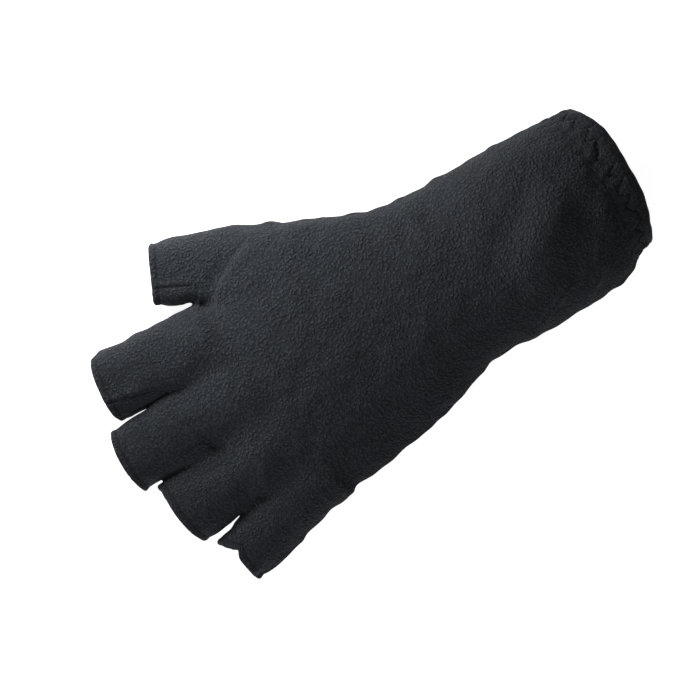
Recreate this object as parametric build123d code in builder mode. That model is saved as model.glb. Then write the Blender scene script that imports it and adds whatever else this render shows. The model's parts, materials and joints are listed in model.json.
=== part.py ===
"""Left-hand fingerless sailing glove in fleece, holding the shape that a hand gives it.

Frame: +Z is up, out of the back of the hand; +Y points to the fingertips; +X points to the thumb.
The glove lies palm down on Z = 0, with the origin under the middle of its outline. Millimetres.
"""
import os
from collections import namedtuple
from math import cos, radians, sin, tan

from build123d import *

# ---------------------------------------------------------------- cloth
fleece = 2.0              # one layer of fleece
hem_fold = 0.5            # how far a stall's turned edge stands out, and in
hem_width = 4.0           # width of a stall's turned edge
fold_gap = 0.1            # clearance at each end of a piece of bending cloth

# ---------------------------------------------------------------- hand and cuff
Station = namedtuple("Station", "y lean left right bottom top")
STATIONS = [              # sections across the hand and the cuff, fingers first
    Station(94.0, 0, -60.5, 38.4, 6.0, 26.0),
    Station(76.0, 0, -61.2, 37.6, 3.4, 29.6),
    Station(61.0, 0, -57.6, 35.8, 0.5, 33.0),
    Station(52.0, 0, -56.2, 35.3, 0.0, 34.0),
    Station(42.0, 0, -54.8, 38.8, -0.5, 35.2),
    Station(24.0, 0, -52.3, 47.5, -0.5, 37.0),
    Station(5.0, 0, -49.8, 41.4, -0.5, 39.0),
    Station(-14.0, 0, -45.3, 32.8, -0.5, 41.0),
    Station(-34.0, 0, -40.6, 28.3, 2.0, 44.0),
    Station(-60.0, 0, -42.7, 27.4, 0.3, 49.0),
    Station(-80.0, 5, -42.5, 26.2, -0.5, 50.0),
    Station(-92.4, 10, -37.4, 25.0, 1.5, 48.0),
]
crown = 0.18              # rise of the back over its shoulders, as a share of the height
palm_corner = 0.42        # corner radii, as shares of the side's height
back_corner = 0.46
seam_height = 15.5        # height of the side seams at the finger roots
seam_climb = 3.6          # how much they climb towards the cuff, in degrees
finger_line_y = 74.5      # where the hand ends between the fingers, at X = 0
finger_line_turn = 9.0    # how far that line falls back towards the little finger, in degrees

# ---------------------------------------------------------------- wrist
wrist_y = -37.0           # the wrist's bending axis
wrist_reach = 12.0        # bending cloth on each side of the axis

# ---------------------------------------------------------------- cuff hem
cuff_hem = Station(-92.4, 10, -36.6, 24.4, 2.6, 46.8)
cuff_hem_width = 13.0
hem_layer = 1.4           # each layer of the turned hem
elastic_width = 9.0
elastic_thickness = 1.2
elastic_gap = 0.3         # clearance all round the elastic
thread = 0.4              # zigzag thread: it stands this far off the hem
thread_width = 0.6
zigzags = 20              # pairs of zigzag stitches round the hem
zigzag_band = 8.0         # width of the zigzag

# ---------------------------------------------------------------- stalls
Stall = namedtuple("Stall", "name x y z turn width height length bend little_side thumb_side")
stall_pitch = 4.0         # the tips hang this far below level, in degrees
stall_corner = 0.42       # corner radius as a share of the height
seam_inset = 5.5          # the finger seams stand this far in from the stall's side
FINGERS = [               # root centre, turn towards the thumb, section, length, bending cloth, neighbours
    Stall("index", 25.3, 82.0, 16.0, 5.0, 24.6, 22.6, 21.6, 11.5, "middle", None),
    Stall("middle", -0.9, 80.2, 16.2, 1.5, 24.4, 22.8, 29.8, 13.0, "ring", "index"),
    Stall("ring", -26.7, 77.4, 15.8, -5.0, 24.4, 22.2, 26.4, 12.5, "little", "middle"),
    Stall("little", -49.9, 72.2, 15.0, -13.0, 21.2, 20.0, 20.0, 11.0, None, "ring"),
]
THUMB = Stall("thumb", 46.3, 48.0, 13.9, 26.0, 23.0, 22.8, 16.8, 8.0, None, None)
finger_stub = 26.0        # how far the finger tubes run back into the hand
thumb_stub = 46.0
crotch_width = 7.0        # the cloth that joins two fingers' sides
crotch_reach = 5.0        # how far it reaches back over the hand
CROTCHES = [("index", "middle", 12.1), ("middle", "ring", -13.8), ("ring", "little", -39.0)]
crease_foot = (47.5, 20.0)    # the fold between the hand's edge and the thumb
crease_head = (35.8, 47.5)
far = 400.0               # bigger than the glove: size of the cutting blocks

PARTS = {}


def keep(name, part):
    """Labels a finished piece and stores it under its node's name."""
    part.label = name
    PARTS[name] = part


def trimmed(part, *cuts):
    """What is left of a part after cuts, each a plane and the side of it to keep."""
    with BuildPart() as piece:
        add(part)
        for plane, side in cuts:
            split(bisect_by=plane, keep=side)
    return piece.part


# ---------------------------------------------------------------- hand and cuff sections
def across(station, along=0.0):
    """Plane across the glove at a station, its own y up, 'along' millimetres towards the cuff."""
    lean = radians(station.lean)
    middle = (station.bottom + station.top) / 2
    plane = Plane(origin=(0, station.y, middle), x_dir=(1, 0, 0), z_dir=(0, -cos(lean), -sin(lean)))
    return plane.offset(along)


def section(station, inset=0.0, along=0.0):
    """The glove's outline at a station: a flat palm, round sides and a crowned back."""
    half = (station.top - station.bottom) / 2
    left, right = station.left + inset, station.right - inset
    bottom, top = inset - half, half - inset
    shoulder = top - 2 * crown * half
    side = shoulder - bottom + 2 * inset
    with BuildSketch(across(station, along)) as outline:
        with BuildLine():
            Polyline((left, shoulder), (left, bottom), (right, bottom), (right, shoulder))
            ThreePointArc((right, shoulder), ((left + right) / 2, top), (left, shoulder))
        make_face()
        fillet(outline.vertices().group_by(Axis.Y)[0], palm_corner * side - inset)
        fillet(outline.vertices().group_by(Axis.Y)[-1], back_corner * side - inset)
    return outline.sketch


def body_loft(inset):
    """The solid inside the glove's outer or inner skin, from the cuff to past the fingers' roots."""
    with BuildPart() as body:
        for station in STATIONS:
            add(section(station, inset))
        loft()
    return body.part


def hem_ring(outer, inner, start, end):
    """A ring that follows the cuff hem's outline, between two insets and two places along it."""
    toward_mouth = across(cuff_hem).z_dir
    with BuildPart() as ring:
        extrude(section(cuff_hem, outer, start), amount=end - start, dir=toward_mouth)
        extrude(section(cuff_hem, inner, start), amount=end - start, dir=toward_mouth,
                mode=Mode.SUBTRACT)
    return ring.part


# ---------------------------------------------------------------- stall geometry
def stall_plane(stall, along=0.0):
    """Plane across a stall, 'along' millimetres past its root; it faces back, and its own y is up."""
    turn, pitch = radians(stall.turn), radians(stall_pitch)
    ahead = Vector(sin(turn) * cos(pitch), cos(turn) * cos(pitch), -sin(pitch))
    root = Vector(stall.x, stall.y, stall.z)
    return Plane(origin=root + ahead * along, x_dir=(cos(turn), -sin(turn), 0), z_dir=ahead * -1)


def tube(stall, start, end, inset=0.0):
    """A solid length of a stall's section."""
    with BuildPart() as length:
        with BuildSketch(stall_plane(stall, end)):
            RectangleRounded(stall.width - 2 * inset, stall.height - 2 * inset,
                             stall_corner * stall.height - inset)
        extrude(amount=end - start)
    return length.part


def stall_wall(stall, start, end, window=None, thicker=0.0):
    """A stall's wall between two places along it, inside a window of its section if one is given."""
    with BuildPart() as wall:
        add(tube(stall, start, end, -thicker))
        add(tube(stall, start, end, fleece + thicker), mode=Mode.SUBTRACT)
        if window:
            x0, x1, y0, y1 = window
            with BuildSketch(stall_plane(stall, end)):
                with Locations(((x0 + x1) / 2, (y0 + y1) / 2)):
                    Rectangle(x1 - x0, y1 - y0)
            extrude(amount=end - start, mode=Mode.INTERSECT)
    return wall.part


def build_stall(stall):
    """A stall's pieces: back, palm, the side strips called fourchettes, the hem and the bending cloth."""
    wide, high = stall.width, stall.height
    low = seam_inset - wide / 2 if stall.little_side else -wide
    top = wide / 2 - seam_inset if stall.thumb_side else wide
    start, end = stall.bend, stall.length - hem_width
    keep(f"{stall.name}_back", stall_wall(stall, start, end, (low, top, 0, high)))
    keep(f"{stall.name}_palm", stall_wall(stall, start, end, (low, top, -high, 0)))
    if stall.little_side:
        strip = stall_wall(stall, start, end, (-wide, low, -high, high))
        keep(f"{stall.name}_fourchette_{stall.little_side}", strip)
    if stall.thumb_side:
        strip = stall_wall(stall, start, end, (top, wide, -high, high))
        keep(f"{stall.name}_fourchette_{stall.thumb_side}", strip)
    keep(f"{stall.name}_hem", stall_wall(stall, end, stall.length, None, hem_fold))
    keep(f"{stall.name}_fold", stall_wall(stall, fold_gap, start - fold_gap))


# ---------------------------------------------------------------- one shell for the hand and the cuff
fall = radians(finger_line_turn)
finger_line = Plane(origin=(0, finger_line_y, 0), x_dir=(cos(fall), sin(fall), 0),
                    z_dir=(-sin(fall), cos(fall), 0))
side_seam = Plane(origin=(0, 80, seam_height), x_dir=(1, 0, 0), z_dir=(0, 0, 1)).rotated(
    (-seam_climb, 0, 0))
hand_end = Plane(origin=(0, wrist_y + wrist_reach, 0), x_dir=(1, 0, 0), z_dir=(0, 1, 0))
cuff_start = Plane(origin=(0, wrist_y - wrist_reach, 0), x_dir=(1, 0, 0), z_dir=(0, 1, 0))
crease = Plane(origin=(*crease_foot, 0),
               x_dir=(crease_head[0] - crease_foot[0], crease_head[1] - crease_foot[1], 0),
               z_dir=(crease_head[1] - crease_foot[1], crease_foot[0] - crease_head[0], 0))
thumb_root = stall_plane(THUMB)
thumb_middle = Plane(origin=thumb_root.origin, x_dir=thumb_root.x_dir, z_dir=thumb_root.y_dir)

with BuildPart() as outer_skin:
    add(body_loft(0.0))
    split(bisect_by=finger_line, keep=Keep.BOTTOM)
    for finger in FINGERS:
        add(tube(finger, -finger_stub, 0))
    add(tube(THUMB, -thumb_stub, 0))
    with Locations((0, 0, -far / 2)):
        Box(far, far, far, mode=Mode.SUBTRACT)

with BuildPart() as inner_skin:
    add(body_loft(fleece))
    split(bisect_by=finger_line.offset(-fleece), keep=Keep.BOTTOM)
    for finger in FINGERS:
        add(tube(finger, fleece - finger_stub, fleece, fleece))
    add(tube(THUMB, fleece - thumb_stub, fleece, fleece))

with BuildPart() as shell:
    add(outer_skin.part)
    add(inner_skin.part, mode=Mode.SUBTRACT)

# ---------------------------------------------------------------- hand
with BuildPart() as thumb_gusset:
    add(trimmed(shell.part, (hand_end, Keep.TOP), (crease, Keep.TOP), (thumb_root, Keep.TOP)))
keep("thumb_gusset_back", trimmed(thumb_gusset.part, (thumb_middle, Keep.TOP)))
keep("thumb_gusset_palm", trimmed(thumb_gusset.part, (thumb_middle, Keep.BOTTOM)))

hand = [trimmed(shell.part, (hand_end, Keep.TOP), (thumb_root, Keep.BOTTOM)),
        trimmed(shell.part, (hand_end, Keep.TOP), (thumb_root, Keep.TOP), (crease, Keep.BOTTOM))]
with BuildPart() as hand_shell:
    for half in hand:
        add(half)

for first, second, crotch_x in CROTCHES:
    with BuildPart() as crotch:
        add(hand_shell.part)
        crotch_y = finger_line_y + crotch_x * tan(fall)
        with Locations((crotch_x, crotch_y + far / 2 - crotch_reach, 0)):
            Box(crotch_width, far, far, mode=Mode.INTERSECT)
    keep(f"{first}_{second}_crotch", crotch.part)

with BuildPart() as panels:
    add(hand_shell.part)
    for first, second, crotch_x in CROTCHES:
        add(PARTS[f"{first}_{second}_crotch"], mode=Mode.SUBTRACT)
keep("back_panel", trimmed(panels.part, (side_seam, Keep.TOP)))
keep("palm_panel", trimmed(panels.part, (side_seam, Keep.BOTTOM)))

# ---------------------------------------------------------------- wrist and cuff
keep("wrist_fold", trimmed(shell.part, (hand_end.offset(-fold_gap), Keep.BOTTOM),
                           (cuff_start.offset(fold_gap), Keep.TOP)))
keep("cuff_back", trimmed(shell.part, (cuff_start, Keep.BOTTOM), (side_seam, Keep.TOP)))
keep("cuff_palm", trimmed(shell.part, (cuff_start, Keep.BOTTOM), (side_seam, Keep.BOTTOM)))

slot = elastic_thickness + 2 * elastic_gap
hem_thickness = 2 * hem_layer + slot
with BuildPart() as turned_hem:
    add(hem_ring(0, hem_thickness, 0, cuff_hem_width))
    add(hem_ring(hem_layer, hem_layer + slot, 0, cuff_hem_width - hem_layer), mode=Mode.SUBTRACT)
keep("cuff_hem", turned_hem.part)
elastic_start = cuff_hem_width - hem_layer - elastic_gap - elastic_width
elastic_inset = hem_layer + elastic_gap
keep("cuff_elastic", hem_ring(elastic_inset, elastic_inset + elastic_thickness,
                              elastic_start, elastic_start + elastic_width))

hem_outline = section(cuff_hem).face().outer_wire()
with BuildPart() as zigzag:
    for i in range(2 * zigzags):
        ends = [hem_outline @ ((i + j) / (2 * zigzags)) for j in (0, 1)]
        rows = [((i + j) % 2 - 0.5) * zigzag_band for j in (0, 1)]
        toward_mouth = across(cuff_hem).z_dir
        points = [end + toward_mouth * (cuff_hem_width / 2 + row) for end, row in zip(ends, rows)]
        along = points[1] - points[0]
        outward = hem_outline.tangent_at((i + 0.5) / (2 * zigzags)).cross(toward_mouth)
        with BuildSketch(Plane(origin=(points[0] + points[1]) / 2, x_dir=along, z_dir=outward)):
            SlotOverall(along.length + thread_width, thread_width)
        extrude(amount=4, both=True)
    add(hem_ring(-thread, 0, 0, cuff_hem_width), mode=Mode.INTERSECT)
keep("cuff_zigzag", zigzag.part)

# ---------------------------------------------------------------- stalls
for finger in FINGERS:
    build_stall(finger)
build_stall(THUMB)

# ---------------------------------------------------------------- write
os.makedirs("parts", exist_ok=True)
for name, part in PARTS.items():
    export_step(part, f"parts/{name}.step")
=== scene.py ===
"""Left-hand fingerless sailing glove in fleece: its visual model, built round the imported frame.

One closed form, given by the hand inside it, is meshed, cut along the seams and shaped by the pull of
each seam, the folds of the sleeve and the gathers of the cuff. Each cloth piece then gets its thickness.
Sizes below are in millimetres unless a name says otherwise; meshes are written in metres.
"""
import json
from itertools import chain
from math import cos, pi, radians, sin, tan

import bpy
import numpy as np
from mathutils import Matrix, Vector

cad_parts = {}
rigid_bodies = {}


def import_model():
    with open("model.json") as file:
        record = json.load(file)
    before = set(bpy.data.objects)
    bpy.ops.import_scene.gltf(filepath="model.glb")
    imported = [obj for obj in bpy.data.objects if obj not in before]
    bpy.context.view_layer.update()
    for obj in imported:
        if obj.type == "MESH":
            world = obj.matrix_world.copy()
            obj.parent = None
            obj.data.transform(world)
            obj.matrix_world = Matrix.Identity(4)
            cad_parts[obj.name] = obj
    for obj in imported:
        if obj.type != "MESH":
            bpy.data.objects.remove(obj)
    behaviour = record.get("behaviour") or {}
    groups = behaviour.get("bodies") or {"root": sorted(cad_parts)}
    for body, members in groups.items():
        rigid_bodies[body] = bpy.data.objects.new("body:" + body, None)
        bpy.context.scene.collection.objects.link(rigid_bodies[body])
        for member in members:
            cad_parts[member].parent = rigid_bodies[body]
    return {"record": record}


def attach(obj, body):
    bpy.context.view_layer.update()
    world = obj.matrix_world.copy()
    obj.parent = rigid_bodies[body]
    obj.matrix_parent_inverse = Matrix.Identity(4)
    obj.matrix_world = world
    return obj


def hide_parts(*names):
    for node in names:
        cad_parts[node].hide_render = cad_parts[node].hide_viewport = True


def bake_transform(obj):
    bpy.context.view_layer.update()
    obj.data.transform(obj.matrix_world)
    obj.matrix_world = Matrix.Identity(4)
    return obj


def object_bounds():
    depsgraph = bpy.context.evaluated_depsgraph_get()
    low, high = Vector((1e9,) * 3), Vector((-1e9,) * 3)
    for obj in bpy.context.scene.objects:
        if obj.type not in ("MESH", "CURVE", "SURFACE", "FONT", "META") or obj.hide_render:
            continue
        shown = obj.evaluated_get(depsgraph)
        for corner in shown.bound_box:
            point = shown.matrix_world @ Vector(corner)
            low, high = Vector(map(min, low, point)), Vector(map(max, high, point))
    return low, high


bl_info = {
    "name": "Fleece sailing glove",
    "version": (1, 0, 0),
    "blender": (4, 5, 0),
    "location": "View3D > Sidebar > Glove",
    "description": "Builds a fingerless fleece sailing glove round its packed frame",
    "category": "Object",
}

for left_over in list(bpy.data.objects):
    bpy.data.objects.remove(left_over)
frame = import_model()
CAD_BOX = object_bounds()
MOUNTS = {m["name"]: m for m in frame["record"]["mounts"]}
FINGERS = ("index", "middle", "ring", "little")
NEIGHBOURS = {"index": ("middle", None), "middle": ("ring", "index"), "ring": ("little", "middle"),
              "little": (None, "ring"), "thumb": (None, None)}

# Sections of the hand and the sleeve: y, left, right, bottom, top
SECTIONS = (
    (98, -60.0, 37.0, 6.0, 24.0), (82, -60.8, 36.2, 4.0, 27.2), (70, -57.5, 33.0, 2.2, 30.8),
    (57, -52.9, 30.9, 0.3, 33.4), (44, -53.7, 37.4, -0.5, 35.0), (32, -53.8, 43.8, -0.5, 36.0),
    (20, -52.3, 46.8, -0.5, 37.2), (8, -50.5, 42.8, -0.5, 38.6), (-4, -48.2, 36.8, -0.5, 40.0),
    (-16, -45.0, 31.3, -0.4, 41.2), (-28, -41.4, 29.1, 1.0, 42.4), (-38, -41.0, 27.5, 1.8, 43.6),
    (-46, -42.0, 27.7, 1.3, 45.3), (-54, -42.8, 27.1, 0.4, 47.6), (-62, -42.3, 26.9, -0.3, 49.7),
    (-80, -42.6, 26.0, -0.3, 50.2), (-89, -40.6, 24.7, 0.9, 48.8), (-95, -37.2, 24.4, 2.3, 47.2),
    (-116, -36.4, 22.8, 3.2, 45.6),
)
# Each stall's width, height, length past its root, length of bending cloth, and the fullness of its section
# towards the thumb and towards the little finger
STALL_SIZES = {
    "index": (24.6, 22.6, 21.6, 11.5, 2.2, 4.0), "middle": (24.4, 22.8, 29.8, 13.0, 2.25, 2.25),
    "ring": (24.4, 22.2, 26.4, 12.5, 2.3, 2.3), "little": (21.2, 20.0, 20.0, 11.0, 2.2, 2.2),
    "thumb": (23.0, 22.8, 16.8, 8.0, 2.4, 4.2),
}
# How much fuller each stall is towards the thumb and towards the little finger, at its root and its mouth
SIDES = {
    "index": ((0.1, 0.4), (0.7, 0.4)), "middle": ((0.6, -0.2), (2.6, 0.7)),
    "ring": ((-0.6, 1.9), (-0.4, 0.7)), "little": ((0.8, -0.1), (0.9, 0.6)),
    "thumb": ((1.9, 1.1), (0.0, 0.4)),
}
# How much each stall's opening is trimmed, how much more towards the thumb, how far it bows out, how far
# its corner towards the thumb stands out, and how deep the notch beside that corner is
MOUTHS = {
    "index": (2.4, 0.05, 0.8, 0.0, 0.0), "middle": (1.8, 0.035, 1.3, 0.0, 0.0),
    "ring": (2.7, 0.0, 1.2, 1.4, 0.0), "little": (0.1, 0.06, -0.6, 2.4, 1.9),
    "thumb": (0.2, 0.0, -0.3, 0.0, 0.0),
}
FILLED = {"middle": 0.0, "ring": 5.5, "little": 3.0}  # how softly a finger runs into the one before it
STALL_ROOM = 4.5                   # room round a finger's stall in which the cloth is its own
FINGER_BACK, THUMB_BACK = 26, 46   # how far back into the hand a stall's form runs
HAND_BLEND = 7.0                   # how softly the fingers run into the hand
ROLL = 0.17                        # the fingers' sections lean this much, so that neighbours overlap
FINGER_LINE = (74.5, 9.0)          # where the hand ends between the fingers at x = 0, and its slant
WRIST = (-25.0, -49.0)             # bending cloth of the wrist
HEM_START = (-92.4, 24.7, 10.0)    # y and z of the middle of the hem's first edge, and its lean
SIDE_SEAM = (15.5, 80.0, 3.6)      # height of the side seam, where it is measured, and its climb
CREASE = ((47.5, 20.0), (35.8, 47.5))  # ends of the fold between the hand and the thumb
CREASE_BOW = 2.0                   # how far that fold bows towards the thumb
THUMB_SEAM = -5.7                  # the thumb's seam on its inner side, from its middle
STALL_HEM_WALL = 2.3               # thickness of a stall's turned edge
ROOM_BELOW, ROOM_ABOVE = 3.0, 6.0  # room round the frame's box in which the form is looked for
SNAP = 0.09                        # a point this near a seam is on it
SETTLE_ROUNDS = 4                  # how often the mesh's points are spread evenly
FLOOR_GAP = 0.12                   # how far the cloth stays above the floor
WALL_STEP = 0.4                    # mesh spacing of the walls of stalls that touch
WALL_BEHIND = 7.0                  # how far behind a stall's root such a wall starts
WALL_SEARCH = 26.0                 # how far to the stall's side it is looked for
WALL_FACES = (0.06, 0.9)           # how far its two faces lie from the neighbour's side
WALL_INSET = 0.45                  # how far its edge stays inside the glove's form
HEM_X = -6.1                       # x of the middle of the cuff's hem
HEM_OVERLAP = 1.4                  # how far that hem starts inside the sleeve
CUFF_END = -80                     # y past which the sleeve is trimmed for its hem
THUMB_START = 12                   # y from which the thumb's gusset runs
HEM_ROUND, HEM_ROWS = 680, 52      # the cuff hem's mesh, round it and across it
ELASTIC_INSET = (0.8, 0.6)         # how far the elastic stays from the hem's two edges
ZIGZAG_AT = 0.54                   # where the zigzag runs, as a share of the hem's width
ZIGZAG_POINTS = 1600               # points along the zigzag's line
LIP_STEPS, HEM_STEPS = 5, 8        # steps round the edge of a stall's mouth and of the cuff's hem

# The stage, in metres. Each lamp has its place, size, power and colour
LAMPS = {
    "key": ((0.175, 0.05, 0.112), (0.12, 0.10), 0.46, (1.0, 0.99, 0.98)),
    "sky": ((0.15, 0.30, 1.00), (1.0, 1.0), 0.7, (0.97, 0.98, 1.0)),
    "fill": ((-0.22, 0.36, 0.30), (0.3, 0.3), 0.58, (0.95, 0.97, 1.0)),
    "rim": ((-0.45, -0.75, 0.50), (0.6, 0.6), 0.08, (0.96, 0.98, 1.0)),
}
LAMPS_AIM = (-0.005, 0.0, 0.025)   # the place that every lamp points at
CAMERA_AT = (-0.0096, 0.0156, 1.845)
CAMERA_RIGHT, CAMERA_UP = (-0.530, -0.848, 0), (0.848, -0.530, 0)


# ---------------------------------------------------------------- sizes and colours
class GloveSizes(bpy.types.PropertyGroup):
    """Sizes of the cloth and its sewing."""
    cloth: bpy.props.FloatProperty(name="Cloth", description="Thickness of the fleece", default=0.0020,
                                   min=0.0005, unit="LENGTH")
    mesh_step: bpy.props.FloatProperty(name="Mesh step", description="Spacing of the cloth's mesh",
                                       default=0.00105, min=0.0005, unit="LENGTH")
    stall_hem: bpy.props.FloatProperty(name="Stall hem", description="Width of a stall's turned edge",
                                       default=0.0018, unit="LENGTH")
    cuff_hem: bpy.props.FloatProperty(name="Cuff hem", description="Width of the elasticated hem",
                                      default=0.0104, unit="LENGTH")
    hem_wall: bpy.props.FloatProperty(name="Cuff hem wall", description="Thickness of the turned hem",
                                      default=0.0044, unit="LENGTH")
    zigzags: bpy.props.IntProperty(name="Zigzags", description="Pairs of zigzag stitches round the cuff",
                                   default=23, min=4)
    zigzag_band: bpy.props.FloatProperty(name="Zigzag band", description="Width of the zigzag",
                                         default=0.0039, unit="LENGTH")
    thread: bpy.props.FloatProperty(name="Thread", description="Thickness of the sewing thread",
                                    default=0.0005, unit="LENGTH")
    stitch: bpy.props.FloatProperty(name="Stitch", description="Length of a stitch of the zigzag",
                                    default=0.0021, unit="LENGTH")
    gap: bpy.props.FloatProperty(name="Gap", description="Share of each stitch's length that is left open",
                                 default=0.22, min=0.0, max=0.9)
    gathers: bpy.props.IntProperty(name="Gathers", description="Puckers round the elasticated hem",
                                   default=34, min=6)


class GloveColours(bpy.types.PropertyGroup):
    """Colours and finish of the cloth."""
    fleece: bpy.props.FloatVectorProperty(name="Fleece", description="Colour of the pile's tips",
                                          subtype="COLOR", size=3, default=(0.0475, 0.055, 0.064))
    # The colour between the tufts is painted shade of the pile's hollows
    depth: bpy.props.FloatVectorProperty(name="Pile depth", description="Colour between the tufts",
                                         subtype="COLOR", size=3, default=(0.008, 0.0085, 0.010))
    lining: bpy.props.FloatVectorProperty(name="Inside", description="Colour of the cloth's inside",
                                          subtype="COLOR", size=3, default=(0.030, 0.033, 0.041))
    thread: bpy.props.FloatVectorProperty(name="Thread", description="Colour of the sewing thread",
                                          subtype="COLOR", size=3, default=(0.016, 0.017, 0.020))
    pile: bpy.props.FloatProperty(name="Pile size", description="Breadth of one tuft of the pile",
                                  default=0.00112, unit="LENGTH")


def sizes():
    return bpy.context.scene.glove_sizes


def colours():
    return bpy.context.scene.glove_colours


def mm(value):
    return value * 1000.0


# ---------------------------------------------------------------- the form that the hand gives
def curve_through(table, at):
    """Smooth interpolation of a table's columns against its first column."""
    rows = np.array(sorted(table), float)
    x, y = rows[:, 0], rows[:, 1:]
    slope = np.gradient(y, x, axis=0)
    i = np.clip(np.searchsorted(x, at) - 1, 0, len(x) - 2)
    h = x[i + 1] - x[i]
    t = np.clip((at - x[i]) / h, 0, 1)
    h, t = h[:, None], t[:, None]
    return ((1 + 2 * t) * (1 - t) ** 2 * y[i] + t * (1 - t) ** 2 * h * slope[i]
            + t * t * (3 - 2 * t) * y[i + 1] + t * t * (t - 1) * h * slope[i + 1])


def oval(u, v, a, b, n):
    """Rough distance to a rounded oblong of half sizes a and b and fullness n."""
    u, v = np.abs(u) / a, np.abs(v) / b
    r = np.maximum((u ** n + v ** n) ** (1 / n), 1e-6)
    slope = np.sqrt((u ** (n - 1) / a) ** 2 + (v ** (n - 1) / b) ** 2) / r ** (n - 1)
    return (r - 1) / np.maximum(slope, 1e-6)


def soft_min(a, b, k):
    h = np.clip(0.5 + 0.5 * (b - a) / k, 0, 1)
    return b * (1 - h) + a * h - k * h * (1 - h)


def soft_max(a, b, k):
    return -soft_min(-a, -b, k)


def halved(before, low, high, rounds=22):
    """Narrows each place between low and high to where a test turns from true to false."""
    for _ in range(rounds):
        middle = (low + high) / 2
        test = before(middle)
        low, high = np.where(test, middle, low), np.where(test, high, middle)
    return low, high


def smooth(t):
    """Eases from 0 to 1 as t does."""
    t = np.clip(t, 0, 1)
    return t * t * (3 - 2 * t)


class Stall:
    """A stall's own axes, taken from its opening in the frame: side to the thumb, up, and ahead."""

    def __init__(self, name):
        mount = MOUNTS[f"{name}_opening"]
        self.name = name
        self.width, self.height, self.length, self.bend, *self.fullness = STALL_SIZES[name]
        self.ahead = np.array(mount["axis"], float)
        self.side = np.array((self.ahead[1], -self.ahead[0], 0.0))
        self.side /= np.linalg.norm(self.side)
        self.up = np.cross(self.side, self.ahead)
        self.root = np.array(mount["pos_m"], float) * 1000 - self.ahead * self.length
        self.back = THUMB_BACK if name == "thumb" else FINGER_BACK

    def local(self, p):
        """A point's distances to the side, up and ahead of the stall's root."""
        q = p - self.root
        return q @ self.side, q @ self.up, q @ self.ahead

    def at(self, side, up, ahead):
        return self.root + self.side * side + self.up * up + self.ahead * ahead

    def rise(self, s):
        """The extra fullness comes in behind the root; the thumb's is greatest there."""
        if self.name == "thumb":
            return smooth((s + 40) / 18) * (1 + 1.15 * bell((s + 14) / 9))
        return smooth((s + 4) / 4)

    def field(self, p):
        """Rough distance to the stall's form, negative inside."""
        u, v, s = self.local(p)
        swell = 1 + 0.02 * np.sin(np.clip(s / self.length, 0, 1) * pi)
        share = smooth(s / (0.8 * self.length))
        towards, away = ((root * (1 - share) + mouth * share) * self.rise(s)
                         for root, mouth in SIDES[self.name])
        half = self.width / 2 * swell + np.where(u > 0, towards, away)
        roll = 0.0 if self.name == "thumb" else ROLL * smooth(s / 6 + 1)
        crown = 0.0 if self.name == "thumb" else 1.7 * (1 - smooth((s + 2) / 18))
        u = u - roll * v
        fullness = np.where(u > 0, *self.fullness)
        d = oval(u, v, half, self.height / 2 * swell + np.where(v > 0, crown, 0), fullness)
        return np.maximum(d, np.maximum(-s - self.back, s - self.length - 6))

    def mouth(self, p):
        """How far past the stall's opening a point is; the opening bows out a little."""
        u, v, s = self.local(p)
        trim, slant, bow, corner, notch = MOUTHS[self.name]
        half = self.width / 2
        bow = bow * (1 - np.clip(np.abs(u) / half, 0, 1) ** 2) * smooth(v / 6 + 0.5)
        corner = corner * (smooth((u - half + 4.5) / 2.5)
                           - 0.4 * bell((u - half + 6.5) / 2.5)) * bell((v - 1) / 7)
        notch = notch * bell((u - half + 7.5) / 2)
        return s - self.length - bow - corner + notch + trim + slant * u


STALLS = {name: Stall(name) for name in (*FINGERS, "thumb")}


def hand_field(p):
    """The hand and the sleeve; its back leans down a little towards the little finger."""
    fine = np.arange(-120.0, 101.0, 1.0)
    table = curve_through(SECTIONS, fine)
    left, right, bottom, top = (np.interp(p[:, 1], fine, table[:, i]) for i in range(4))
    u, v = p[:, 0] - (left + right) / 2, p[:, 2] - (bottom + top) / 2
    a, b = (right - left) / 2, (top - bottom) / 2
    lean = 0.05 * smooth((p[:, 1] + 40) / 30) * smooth((66 - p[:, 1]) / 30) * smooth(v / 12)
    v = v - lean * u
    return oval(u, v, a, b, np.where(v > 0, 2.1, 3.2))


def finger_line(p):
    """How far past the line where the hand ends a point is, towards the fingertips."""
    y, slant = FINGER_LINE
    return (p[:, 1] - y) * cos(radians(slant)) - p[:, 0] * sin(radians(slant))


def form(p):
    """The glove's outer form as a field: negative inside."""
    hand = soft_max(hand_field(p), finger_line(p), HAND_BLEND)
    fingers = STALLS["index"].field(p)
    for name in FINGERS[1:]:
        filled = FILLED[name] * (1 - smooth((STALLS[name].local(p)[2] - 3) / 15))
        fingers = soft_min(fingers, STALLS[name].field(p), 0.4 + filled)
    glove = soft_min(hand, fingers, HAND_BLEND)
    swelling = 3.5 * smooth((56.5 - p[:, 1]) / 9) * smooth((p[:, 1] - 10) / 15)
    glove = soft_min(glove, STALLS["thumb"].field(p), 3.5 + swelling)
    return soft_max(glove, -p[:, 2], 1.6)


def gradient(field, p):
    h = 0.15
    return np.stack([field(p + e) - field(p - e) for e in np.eye(3) * h], axis=1) / (2 * h)


def unit(v):
    """Vectors made one long."""
    return v / np.maximum(np.linalg.norm(v, axis=-1, keepdims=True), 1e-9)


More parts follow.
